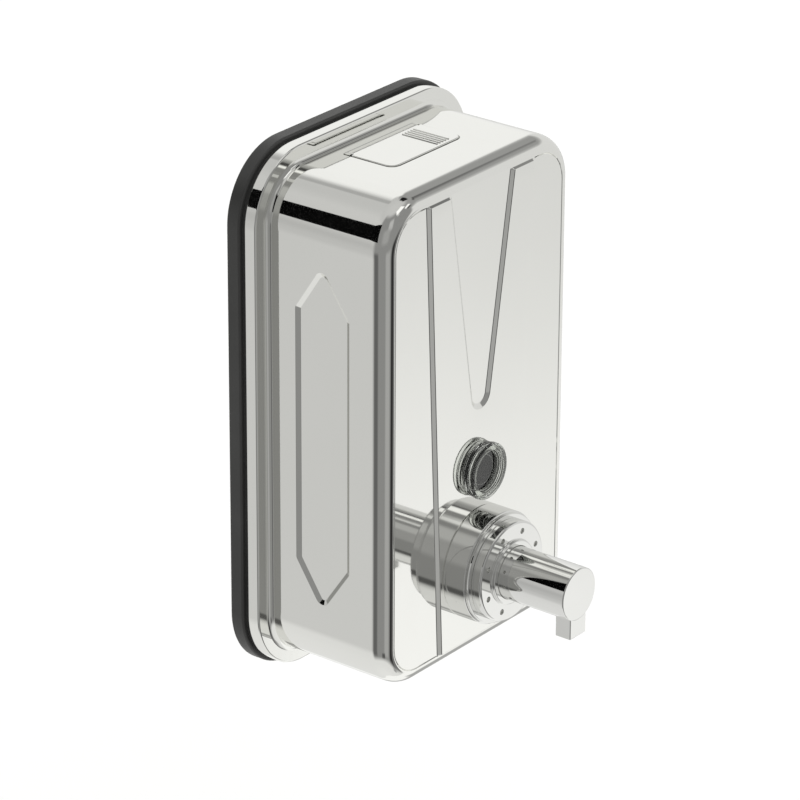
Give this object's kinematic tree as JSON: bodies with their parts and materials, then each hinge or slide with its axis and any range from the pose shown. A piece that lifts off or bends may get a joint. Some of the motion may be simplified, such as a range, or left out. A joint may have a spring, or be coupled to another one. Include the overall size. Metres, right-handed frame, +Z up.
{
  "type": "wall mounted soap dispenser",
  "caption": "Push-operated liquid soap dispenser: drawn steel case on a black wall plate, hinged filler lid on top, round level window and a chromed push nozzle with a square spout.",
  "frame": {"origin": "centre of the wall-screw pattern, on the wall face of the wall plate", "axes": "+Z up, -Y out of the wall towards the user, +X to the user's right"},
  "size_m": [0.1376, 0.1215, 0.2252],
  "materials": {
    "black_plastic": "satin moulded black plastic",
    "case_steel": "bright polished stainless steel sheet",
    "fitting_steel": "plain zinc-plated and stainless fittings",
    "chromed": "bright chrome plate",
    "grey_plastic": "moulded engineering plastic",
    "milky_plastic": "natural polyethylene, slightly translucent",
    "seal_rubber": "matt seal rubber",
    "lens_plastic": "clear moulded plastic"
  },
  "bodies": {
    "root": {"wall_plate": "black_plastic", "hanger_bracket": "fitting_steel", "bracket_screws": "fitting_steel", "latch_spring": "fitting_steel", "front_shell": "case_steel", "back_plate": "case_steel", "back_screws": "fitting_steel", "lid_frame": "case_steel", "lid_seal": "seal_rubber", "hinge_pin": "fitting_steel", "lid_catch": "fitting_steel", "tank": "milky_plastic", "window_lens": "lens_plastic", "window_sleeve": "seal_rubber", "window_gasket": "seal_rubber", "window_nut": "grey_plastic", "valve_body": "grey_plastic", "valve_gasket": "seal_rubber", "valve_nut": "grey_plastic", "rod_gland": "milky_plastic", "rod_seal": "seal_rubber", "inlet_seat": "grey_plastic", "collar": "chromed", "bead_ring": "chromed", "face_cap": "chromed", "return_spring": "fitting_steel"},
    "lid": {"filler_lid": "case_steel"},
    "plunger": {"nozzle": "chromed", "plunger_stem": "milky_plastic", "piston": "grey_plastic", "piston_seal": "seal_rubber"},
    "latch": {"latch_bar": "milky_plastic"},
    "inlet_check": {"inlet_ball": "fitting_steel"},
    "outlet_check": {"outlet_ball": "fitting_steel"}
  },
  "joints": [
    {"name": "plunger_push", "type": "slide", "parent": "root", "child": "plunger", "axis": [0, 1, 0], "range_m": [0, 0.014], "stiffness_N_per_m": 600, "springref_m": -0.008, "deforming": ["return_spring"]},
    {"name": "lid_hinge", "type": "hinge", "parent": "root", "child": "lid", "pos_m": [0, -0.0223, 0.1028], "axis": [-1, 0, 0], "range_deg": [0, 100]},
    {"name": "latch_slide", "type": "slide", "parent": "root", "child": "latch", "axis": [0, 1, 0], "range_m": [0, 0.003], "stiffness_N_per_m": 800, "springref_m": -0.002, "deforming": ["latch_spring"]},
    {"name": "inlet_ball_lift", "type": "slide", "parent": "root", "child": "inlet_check", "axis": [0, -1, 0], "range_m": [0, 0.0015]},
    {"name": "outlet_ball_lift", "type": "slide", "parent": "plunger", "child": "outlet_check", "axis": [0, -1, 0], "range_m": [0, 0.0015]}
  ]
}
